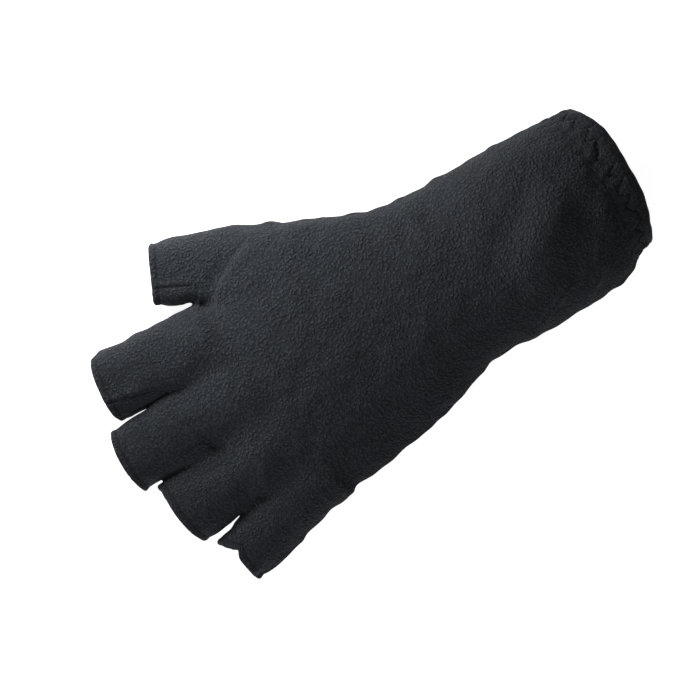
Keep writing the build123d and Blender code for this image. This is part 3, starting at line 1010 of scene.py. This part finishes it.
def ramp(tree, value, low, high, to_low=0.0, to_high=1.0):
    made = node(tree, "ShaderNodeMapRange", {"Value": value, "From Min": low, "From Max": high,
                                             "To Min": to_low, "To Max": to_high},
                interpolation_type="SMOOTHSTEP")
    return made.outputs["Result"]


def noise(tree, place, scale, detail=2.0, roughness=0.5):
    return node(tree, "ShaderNodeTexNoise", {"Vector": place, "Scale": scale, "Detail": detail,
                                             "Roughness": roughness}).outputs["Fac"]


def bands(tree, place, direction, **settings):
    """Soft stripes across the cloth."""
    return node(tree, "ShaderNodeTexWave", {"Vector": place, **settings},
                wave_type="BANDS", bands_direction=direction).outputs["Fac"]


def mixed(tree, factor, a, b):
    return node(tree, "ShaderNodeMix", {0: factor, 6: a, 7: b}, data_type="RGBA").outputs[2]


def bumped(tree, height, strength, distance):
    """Normals shaped by a height; the distance is in millimetres."""
    return node(tree, "ShaderNodeBump", {"Height": height, "Strength": strength,
                                         "Distance": distance * 0.001}).outputs[0]


def attribute(tree, name, output="Vector"):
    return node(tree, "ShaderNodeAttribute", attribute_name=name).outputs[output]


def tinted(colour, share=1.0):
    """A colour made lighter or darker, with its alpha."""
    return (*[share * v for v in colour], 1)


def group(name, inputs, outputs):
    """A shader node group with named sockets; gives the tree and its input node."""
    tree = bpy.data.node_groups.new(name, "ShaderNodeTree")
    for key, kind, value in inputs:
        socket = tree.interface.new_socket(key, in_out="INPUT", socket_type=f"NodeSocket{kind}")
        if value is not None:
            socket.default_value = value
    for key, kind in outputs:
        tree.interface.new_socket(key, in_out="OUTPUT", socket_type=f"NodeSocket{kind}")
    return tree, tree.nodes.new("NodeGroupInput").outputs


def pile_group():
    """Fleece pile: tufts that clump and part, painted shade in the hollows between them, and flatter pile on
    a seam, whose colour also carries painted shade.
    """
    if "Fleece pile" in bpy.data.node_groups:
        return bpy.data.node_groups["Fleece pile"]
    tree, given = group("Fleece pile", (
        ("Cloth", "Vector", None), ("Tuft", "Float", 1.1), ("Tips", "Color", (0.05, 0.05, 0.05, 1)),
        ("Depth", "Color", (0.02, 0.02, 0.02, 1)), ("Seam", "Float", 0.0), ("Clumping", "Float", 0.6)),
        (("Colour", "Color"), ("Roughness", "Float"), ("Height", "Float")))
    place = vector(tree, "SCALE", given["Cloth"], calc(tree, "DIVIDE", 1.0, given["Tuft"]))
    drift = node(tree, "ShaderNodeTexNoise", {"Vector": place, "Scale": 1.1, "Detail": 1.0}).outputs["Color"]
    drift = vector(tree, "SCALE", vector(tree, "SUBTRACT", drift, (0.5, 0.5, 0.5)), 0.9)
    place = vector(tree, "ADD", place, drift)
    cells = node(tree, "ShaderNodeTexVoronoi", {"Vector": place, "Scale": 1.0}, feature="F1").outputs
    tufts = ramp(tree, cells["Distance"], 0.68, 0.14)
    each = node(tree, "ShaderNodeSeparateColor", {0: cells["Color"]}).outputs[0]
    fine = ramp(tree, noise(tree, place, 2.2, 2.0, 0.6), 0.28, 0.72)
    patch = ramp(tree, noise(tree, place, 0.13, 2.0, 0.5), 0.32, 0.68)
    strength = times_plus(tree, times(tree, patch, given["Clumping"]), 0.7, 0.5)
    height = times(tree, tufts, times_plus(tree, each, 0.6, 0.55))
    height = times(tree, times_plus(tree, fine, 0.22, height), strength)
    height = times(tree, height, times_plus(tree, given["Seam"], -0.75, 1.0))
    # Tuft centres light, edges dark: painted shade in the hollows; each tuft's tone and the fine noise vary
    # at random
    shade = times_plus(tree, tufts, 0.42, times_plus(tree, each, 0.16, 0.22))
    shade = times_plus(tree, fine, 0.16, shade)
    # painted shade: the colour is darkened along seams and the hem's grooves
    shade = times(tree, shade, times_plus(tree, given["Seam"], -0.7, 1.0), clamp=True)
    node(tree, "NodeGroupOutput", {"Colour": mixed(tree, shade, given["Depth"], given["Tips"]),
                                   "Roughness": ramp(tree, fine, 0.0, 1.0, 0.98, 0.82), "Height": height})
    return tree


def finish(name, look):
    """The material of a name, made when it is first wanted from what its look feeds the shader."""
    if name not in bpy.data.materials:
        made = bpy.data.materials.new(name)
        made.use_nodes = True
        plug(made.node_tree, made.node_tree.nodes["Principled BSDF"], look(made.node_tree))
    return bpy.data.materials[name]


def fleece(name, tips, depth, tuft, clumping, bump):
    """Fleece with its pile outside, and of a plainer colour where it faces the hand."""
    def look(tree):
        pile = node(tree, "ShaderNodeGroup", {
            "Cloth": attribute(tree, "cloth"), "Seam": attribute(tree, "seam", "Fac"), "Tuft": tuft,
            "Tips": tips, "Depth": depth, "Clumping": clumping}, node_tree=pile_group()).outputs
        return {"Base Color": mixed(tree, attribute(tree, "inside", "Fac"), pile["Colour"],
                                    tinted(colours().lining)),
                "Roughness": pile["Roughness"], "Normal": bumped(tree, pile["Height"], 1.0, bump),
                "Sheen Weight": 0.15, "Sheen Roughness": 0.45, "Sheen Tint": (0.55, 0.60, 0.68, 1),
                "Specular IOR Level": 0.18}
    return finish(name, look)


def cloth_material():
    c = colours()
    return fleece("Fleece", tinted(c.fleece), tinted(c.depth), mm(c.pile), clumping=0.8, bump=0.95)


def hem_material():
    c = colours()
    return fleece("Fleece hem", tinted(c.fleece, 0.85), tinted(c.depth, 0.9), mm(c.pile) * 0.9,
                  clumping=0.6, bump=0.45)


def thread_look(tree):
    """Twisted thread: fine slanting plies in its colour and its bump."""
    place = attribute(tree, "cloth")
    ply = bands(tree, place, "DIAGONAL", Scale=2.4, Distortion=1.5, Detail=1.0)
    shade = times_plus(tree, ply, 0.6, times(tree, noise(tree, place, 0.5), 0.4))
    colour = colours().thread
    return {"Base Color": mixed(tree, shade, tinted(colour, 0.5), tinted(colour, 1.5)),
            "Roughness": ramp(tree, ply, 0, 1, 0.62, 0.45), "Normal": bumped(tree, ply, 0.6, 0.08)}


def elastic_look(tree):
    """Ribbed elastic webbing, seen only if the hem is opened."""
    rib = bands(tree, attribute(tree, "cloth"), "Y", Scale=0.26, Distortion=0.4)
    return {"Base Color": mixed(tree, rib, (0.012, 0.012, 0.014, 1), (0.050, 0.052, 0.056, 1)),
            "Roughness": ramp(tree, rib, 0, 1, 0.9, 0.65), "Normal": bumped(tree, rib, 0.8, 0.3)}


def floor_look(tree):
    """Pale floor that keeps the glove's shadow and is white to the camera elsewhere."""
    speck = noise(tree, node(tree, "ShaderNodeTexCoord").outputs["Object"], 60.0)
    path = node(tree, "ShaderNodeLightPath").outputs
    seen = calc(tree, "ADD", path["Is Camera Ray"], path["Is Glossy Ray"], clamp=True)
    return {"Base Color": mixed(tree, speck, (0.90, 0.90, 0.90, 1), (0.93, 0.93, 0.93, 1)),
            "Roughness": 0.9, "Emission Color": (1, 1, 1, 1), "Emission Strength": times(tree, seen, 0.90)}


# ---------------------------------------------------------------- operators
def metres(point):
    return tuple(float(v) * 0.001 for v in point)


def sew_to_hand(names):
    """Makes the pieces of fleece that stay with the hand."""
    for name in names:
        made = panel(name, cloth_material())
        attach(made, "hand")
        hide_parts(name)


class GLOVE_OT_hand(bpy.types.Operator):
    """Back and palm of the hand, and the strips of cloth at the roots of the fingers"""
    bl_idname = "glove.hand"
    bl_label = "Hand"

    def execute(self, context):
        sew_to_hand(["back_panel", "palm_panel"] + [crotch.name for crotch in CROTCHES])
        return {"FINISHED"}


class GLOVE_OT_thumb_gusset(bpy.types.Operator):
    """Cloth let in round the base of the thumb, above and below"""
    bl_idname = "glove.thumb_gusset"
    bl_label = "Thumb gusset"

    def execute(self, context):
        sew_to_hand(["thumb_gusset_back", "thumb_gusset_palm"])
        return {"FINISHED"}


class GLOVE_OT_stalls(bpy.types.Operator):
    """The four fingers' and the thumb's open stalls, with their side strips and turned edges"""
    bl_idname = "glove.stalls"
    bl_label = "Finger stalls"

    def execute(self, context):
        for name, stall in STALLS.items():
            parts = {f"{name}_back": None, f"{name}_palm": None}
            parts |= {f"{name}_fourchette_{n}": (stall, STALLS[n]) for n in reversed(NEIGHBOURS[name]) if n}
            for part, beside in parts.items():
                made = panel(part, cloth_material(), beside=beside)
                metres(stall.at(0, 0, 0.2))
                metres(stall.at(0, 0, stall.bend))
                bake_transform(made)
                stands_for = [part] + ([f"{name}_fold"] if part == f"{name}_back" else [])
                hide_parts(*stands_for)
            edge = panel(f"{name}_hem", cloth_material(), wall=STALL_HEM_WALL, mouth=stall.mouth)
            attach(edge, name)
            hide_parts(f"{name}_hem")
        return {"FINISHED"}


class GLOVE_OT_cuff(bpy.types.Operator):
    """The sleeve over the wrist"""
    bl_idname = "glove.cuff"
    bl_label = "Cuff"

    def execute(self, context):
        for name, also in (("cuff_back", ["wrist_fold"]), ("cuff_palm", [])):
            made = panel(name, cloth_material())
            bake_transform(made)
            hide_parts(name, *also)
        return {"FINISHED"}


class Hem:
    """The cuff's elasticated hem as a ring, by length round it and by length towards its mouth."""

    def __init__(self):
        self.width = mm(sizes().cuff_hem)
        self.rows = np.linspace(-HEM_OVERLAP, self.width, HEM_ROWS)
        y, z, lean = HEM_START
        self.out = np.array((0.0, -cos(radians(lean)), -sin(radians(lean))))
        self.up = np.array((0.0, -sin(radians(lean)), cos(radians(lean))))
        self.start = np.array((HEM_X, y, z))
        turn = np.linspace(0, 2 * pi, 721)[:-1]
        middle = self.ring(turn, self.width / 2)
        step = np.linalg.norm(np.roll(middle, -1, axis=0) - middle, axis=1)
        total = np.concatenate([[0], np.cumsum(step)])
        self.length = total[-1]
        self.arc = np.arange(HEM_ROUND) / HEM_ROUND * self.length
        self.turn = np.interp(self.arc, total, np.append(turn, 2 * pi))
        edge = self.ring(self.turn, 0)[:, 0]
        pull = 0.35 + 1.6 * smooth((edge - 14) / 10) - 0.9 * bell((edge - 6) / 8)
        pull = pull + 1.9 * bell((edge + 30) / 8) + 1.6 * smooth((-26 - edge) / 14)
        pull = pull + 0.4 * bell((edge - 17) / 4)
        pull = smooth(self.rows / self.width)[:, None] * pull
        self.points = np.stack([self.ring(self.turn, t) for t in self.rows])
        self.points = self.points - self.out * pull[..., None]
        self.normals = unit(np.stack([gradient(form, row) for row in self.points]))

    def ring(self, turn, t):
        """The form's outline where the hem is a length t wide."""
        ray = np.stack([np.cos(turn)] * 3, 1) * np.array((1.0, 0, 0)) + np.sin(turn)[:, None] * self.up
        centre = self.start + self.out * t
        low, high = halved(lambda reach: form(centre + ray * reach[:, None]) < 0,
                           np.full(len(turn), 8.0), np.full(len(turn), 60.0))
        return centre + ray * ((low + high) / 2)[:, None]

    def zigzag(self, arc, t):
        """Distance from the zigzag's line, positive towards the cuff's mouth."""
        period = self.length / sizes().zigzags
        band = mm(sizes().zigzag_band)
        round_by = arc / self.length * 2 * pi
        wobble = (1.1 * np.sin(round_by * 7 + 1.0) + 0.8 * np.sin(round_by * 13)
                  + 0.5 * np.sin(round_by * 29 + 2))
        phase = np.abs((arc + wobble) % period - period / 2)
        low = (ZIGZAG_AT * self.width - band / 2 + 0.3 * np.sin(round_by * 9)
               + 0.25 * np.sin(round_by * 23 + 1))
        rise = band / (period / 2)
        line = low + phase * rise
        return (t - line) / np.sqrt(1 + rise * rise)

    def shaped(self):
        """The hem's outside and inside, puckered by the elastic and quilted by the zigzag, and a mask that
        flattens the pile in the zigzag's grooves and at the hem's join with the sleeve and darkens them as
        painted shade.
        """
        arc = np.broadcast_to(self.arc, self.points.shape[:2])
        t = np.broadcast_to(self.rows[:, None], arc.shape)
        flat = self.points.reshape(-1, 3)
        off = self.zigzag(arc, t)
        groove = bell(off / 0.48)
        share = np.clip(t / self.width, 0, 1)
        pucker = np.sin(sizes().gathers * arc / self.length * 2 * pi
                        + 2.2 * waves(flat, 21, 16, 40).reshape(arc.shape))
        lumps = waves(flat, 22, 5, 11).reshape(arc.shape)
        deep = 0.85 + 0.25 * waves(flat, 23, 12, 30).reshape(arc.shape)
        middle = bell((t - ZIGZAG_AT * self.width) / 5.0)
        dent = 0.6 * bell(np.hypot(self.points[..., 0] - 0.5, (t - 2.2) * 0.8) / 2.4)
        lift = -0.2 - 0.75 * deep * groove + 0.45 * (1 - bell(off / 1.6)) * middle
        lift += 0.12 * lumps + 0.16 * pucker * (1 - share) - dent
        lift += 0.20 * np.sin(pi * share) - 0.35 * bell((t - self.width) / 1.0) - 0.10 * bell((t + 0.4) / 1.1)
        outer = self.points + self.normals * lift[..., None]
        mouth = 0.06 * np.sin(sizes().zigzags * arc / self.length * 2 * pi) + 0.12 * lumps
        outer = outer + self.out * (mouth * share ** 2)[..., None]
        inner = outer - self.normals * (mm(sizes().hem_wall) + 0.35 * groove)[..., None]
        # the third value is the seam mask: flatter pile and painted shade in the grooves
        return outer, inner, np.maximum(groove * deep, 0.5 * bell((t + 0.3) / 0.7))


def hem():
    work = whole()
    if "hem" not in work:
        work["hem"] = Hem()
    return work["hem"]


class GLOVE_OT_cuff_hem(bpy.types.Operator):
    """The cuff's wide hem, gathered by the elastic inside it and quilted by its zigzag"""
    bl_idname = "glove.cuff_hem"
    bl_label = "Cuff hem"

    def execute(self, context):
        ring = hem()
        outer, inner, seam = ring.shaped()
        # the seam mask along the hem: flatter pile and painted shade on its grooves and rolled edges
        loops, flat_and_shaded, rests = list(outer), list(seam), list(ring.points)
        insides = [np.zeros(HEM_ROUND)] * len(loops)
        for end, direction, reach in ((-1, ring.out, 0.85), (0, -ring.out, 0.35)):
            at_mouth = end == -1
            o, i, up = outer[end], inner[end], ring.normals[end]
            half = np.linalg.norm(o - i, axis=1)[:, None] / 2
            for k in range(1, HEM_STEPS):
                share = k / HEM_STEPS if at_mouth else 1 - k / HEM_STEPS
                turn = pi * share
                loops.append((o + i) / 2 + up * half * cos(turn) + direction * half * reach * sin(turn))
                flat_and_shaded.append(np.full(HEM_ROUND, 0.15))
                rests.append(ring.points[end] + direction * share * 5)
                insides.append(np.full(HEM_ROUND, share ** 2))
            if at_mouth:
                for row in range(len(outer) - 1, -1, -4):
                    loops.append(inner[row])
                    flat_and_shaded.append(0.4 * seam[row])
                    rests.append(ring.points[row] - ring.normals[row] * 4)
                    insides.append(np.ones(HEM_ROUND))
        data = {"cloth": np.concatenate(rests), "seam": np.concatenate(flat_and_shaded),
                "inside": np.concatenate(insides)}
        points, faces = tube(loops)
        made = piece("cuff_hem", points, faces, None, data, hem_material())
        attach(made, "cuff")
        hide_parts("cuff_hem")
        return {"FINISHED"}


class GLOVE_OT_elastic(bpy.types.Operator):
    """The ribbed elastic that lies inside the cuff's hem"""
    bl_idname = "glove.elastic"
    bl_label = "Elastic"

    def execute(self, context):
        ring = hem()
        outer, inner, _ = ring.shaped()
        first, last = ELASTIC_INSET
        rows = np.flatnonzero((ring.rows > first) & (ring.rows < ring.width - last))
        ribs = 0.12 * np.sin(np.arange(len(rows)) * 1.9)
        loops = []
        for side, order, raised in ((0.34, rows, ribs), (0.66, rows[::-1], -ribs[::-1])):
            for row, rib in zip(order, raised):
                loops.append(outer[row] * (1 - side) + inner[row] * side + ring.normals[row] * rib)
        points, faces = tube(loops)
        made = piece("cuff_elastic", points, faces, None, {"cloth": points}, finish("Elastic", elastic_look))
        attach(made, "cuff")
        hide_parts("cuff_elastic")
        return {"FINISHED"}


def stitch_tree():
    """Stitches along a path: small rounded lengths of thread, each lying along it."""
    if "Stitches" in bpy.data.node_groups:
        return bpy.data.node_groups["Stitches"]
    tree = bpy.data.node_groups.new("Stitches", "GeometryNodeTree")
    sockets = tree.interface
    sockets.new_socket("Path", in_out="INPUT", socket_type="NodeSocketGeometry")
    for key in ("Stitch", "Thread", "Gap"):
        sockets.new_socket(key, in_out="INPUT", socket_type="NodeSocketFloat")
    sockets.new_socket("Material", in_out="INPUT", socket_type="NodeSocketMaterial")
    sockets.new_socket("Stitches", in_out="OUTPUT", socket_type="NodeSocketGeometry")
    given = tree.nodes.new("NodeGroupInput").outputs
    line = node(tree, "GeometryNodeMeshToCurve", {"Mesh": given["Path"]}).outputs[0]
    line = node(tree, "GeometryNodeResampleCurve", {"Curve": line, "Length": given["Stitch"]},
                mode="LENGTH").outputs[0]
    ball = node(tree, "GeometryNodeMeshUVSphere", {"Segments": 6, "Rings": 5, "Radius": 0.5}).outputs[0]
    length = times(tree, calc(tree, "SUBTRACT", 1.0, given["Gap"]), given["Stitch"])
    scale = node(tree, "ShaderNodeCombineXYZ", {0: given["Thread"], 1: given["Thread"], 2: length}).outputs[0]
    turned = node(tree, "FunctionNodeAlignRotationToVector",
                  {"Vector": tree.nodes.new("GeometryNodeInputTangent").outputs[0]}, axis="Z").outputs[0]
    placed = node(tree, "GeometryNodeInstanceOnPoints",
                  {"Points": line, "Instance": ball, "Rotation": turned, "Scale": scale}).outputs[0]
    real = node(tree, "GeometryNodeRealizeInstances", {"Geometry": placed}).outputs[0]
    shiny = node(tree, "GeometryNodeSetShadeSmooth", {"Geometry": real}).outputs[0]
    done = node(tree, "GeometryNodeSetMaterial",
                {"Geometry": shiny, "Material": given["Material"]}).outputs[0]
    tree.links.new(done, tree.nodes.new("NodeGroupOutput").inputs[0])
    return tree


def stitched(name, line):
    """A plain mesh of the stitches along a closed line of points in millimetres."""
    mesh = bpy.data.meshes.new(name)
    mesh.from_pydata((line * 0.001).tolist(), [(i, (i + 1) % len(line)) for i in range(len(line))], [])
    path = bpy.data.objects.new(name, mesh)
    bpy.context.scene.collection.objects.link(path)
    modifier = path.modifiers.new("Stitches", "NODES")
    modifier.node_group = stitch_tree()
    wanted = {"Stitch": sizes().stitch, "Thread": sizes().thread, "Gap": sizes().gap,
              "Material": finish("Sewing thread", thread_look)}
    for item in modifier.node_group.interface.items_tree:
        if item.in_out == "INPUT" and item.name in wanted:
            modifier[item.identifier] = wanted[item.name]
    graph = bpy.context.evaluated_depsgraph_get()
    made = bpy.data.meshes.new_from_object(path.evaluated_get(graph))
    path.modifiers.clear()
    path.data = made
    made.name = name
    place = np.empty(len(made.vertices) * 3)
    made.vertices.foreach_get("co", place)
    kept = made.attributes.new("cloth", "FLOAT_VECTOR", "POINT")
    kept.data.foreach_set("vector", (place * 1000).astype(np.float32))
    return path


class GLOVE_OT_stitching(bpy.types.Operator):
    """The zigzag of thread round the cuff's hem"""
    bl_idname = "glove.stitching"
    bl_label = "Stitching"

    def execute(self, context):
        ring = hem()
        outer = ring.shaped()[0]
        arc = np.linspace(0, ring.length, ZIGZAG_POINTS, endpoint=False)
        low, high = halved(lambda t: ring.zigzag(arc, t) <= 0, np.full(len(arc), -2.0),
                           np.full(len(arc), ring.width + 2), rounds=30)
        row = np.interp((low + high) / 2, ring.rows, np.arange(HEM_ROWS))
        column = arc / ring.length * HEM_ROUND
        i, j = np.floor(row).astype(int), np.floor(column).astype(int)
        i, k = np.minimum(i, HEM_ROWS - 2), (j + 1) % HEM_ROUND
        fi, fj = (row - i)[:, None], (column - j)[:, None]
        line = ((outer[i, j] * (1 - fi) + outer[i + 1, j] * fi) * (1 - fj)
                + (outer[i, k] * (1 - fi) + outer[i + 1, k] * fi) * fj)
        made = stitched("cuff_zigzag", line + ring.normals[i, j] * 0.05)
        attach(made, "cuff")
        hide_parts("cuff_zigzag")
        return {"FINISHED"}


class GLOVE_OT_stage(bpy.types.Operator):
    """Pale floor, soft studio light and the camera over the back of the hand"""
    bl_idname = "glove.stage"
    bl_label = "Stage"

    def execute(self, context):
        scene = context.scene
        scene.view_settings.view_transform = "Standard"
        mesh = bpy.data.meshes.new("floor")
        mesh.from_pydata([(-4, -4, 0), (4, -4, 0), (4, 4, 0), (-4, 4, 0)], [], [(0, 1, 2, 3)])
        mesh.materials.append(finish("Pale floor", floor_look))
        floor = bpy.data.objects.new("floor", mesh)
        scene.collection.objects.link(floor)
        for name, (place, size, power, colour) in LAMPS.items():
            light = bpy.data.lights.new(name, "AREA")
            light.shape = "RECTANGLE"
            (light.size, light.size_y), light.energy, light.color = size, power, colour
            lamp = bpy.data.objects.new(name, light)
            lamp.location = place
            lamp.rotation_euler = (Vector(LAMPS_AIM) - Vector(place)).to_track_quat("-Z", "Y").to_euler()
            scene.collection.objects.link(lamp)
        world = bpy.data.worlds.new("studio")
        world.use_nodes = True
        tree = world.node_tree
        seen = node(tree, "ShaderNodeLightPath").outputs["Is Camera Ray"]
        plug(tree, tree.nodes["Background"], {"Strength": ramp(tree, seen, 0, 1, 0.12, 1.0),
                                              "Color": (1, 1, 1, 1)})
        scene.world = world
        camera = bpy.data.cameras.new("camera")
        camera.lens, camera.sensor_width, camera.clip_end = 250, 36, 20
        held = bpy.data.objects.new("camera", camera)
        axes = (Vector(CAMERA_RIGHT).normalized(), Vector(CAMERA_UP).normalized(), (0, 0, 1))
        held.matrix_world = Matrix.Translation(CAMERA_AT) @ Matrix(axes).transposed().to_4x4()
        scene.collection.objects.link(held)
        scene.camera = held
        return {"FINISHED"}


OPERATORS = (GLOVE_OT_hand, GLOVE_OT_thumb_gusset, GLOVE_OT_stalls, GLOVE_OT_cuff, GLOVE_OT_cuff_hem,
             GLOVE_OT_stitching, GLOVE_OT_elastic, GLOVE_OT_stage)


class GLOVE_PT_panel(bpy.types.Panel):
    """Lists the glove's pieces with its sizes and colours"""
    bl_idname = "GLOVE_PT_panel"
    bl_label = "Sailing glove"
    bl_space_type = "VIEW_3D"
    bl_region_type = "UI"
    bl_category = "Glove"

    def draw(self, context):
        for settings in (sizes(), colours()):
            for key in settings.__annotations__:
                self.layout.prop(settings, key)
        for operator in OPERATORS:
            self.layout.operator(operator.bl_idname)


CLASSES = (GloveSizes, GloveColours, *OPERATORS, GLOVE_PT_panel)


def register():
    for cls in CLASSES:
        bpy.utils.register_class(cls)
    bpy.types.Scene.glove_sizes = bpy.props.PointerProperty(type=GloveSizes)
    bpy.types.Scene.glove_colours = bpy.props.PointerProperty(type=GloveColours)


def unregister():
    del bpy.types.Scene.glove_sizes
    del bpy.types.Scene.glove_colours
    for cls in reversed(CLASSES):
        bpy.utils.unregister_class(cls)


def main():
    register()
    for operator in OPERATORS:
        section, name = operator.bl_idname.split(".")
        getattr(getattr(bpy.ops, section), name)()


if __name__ == "__main__":
    main()
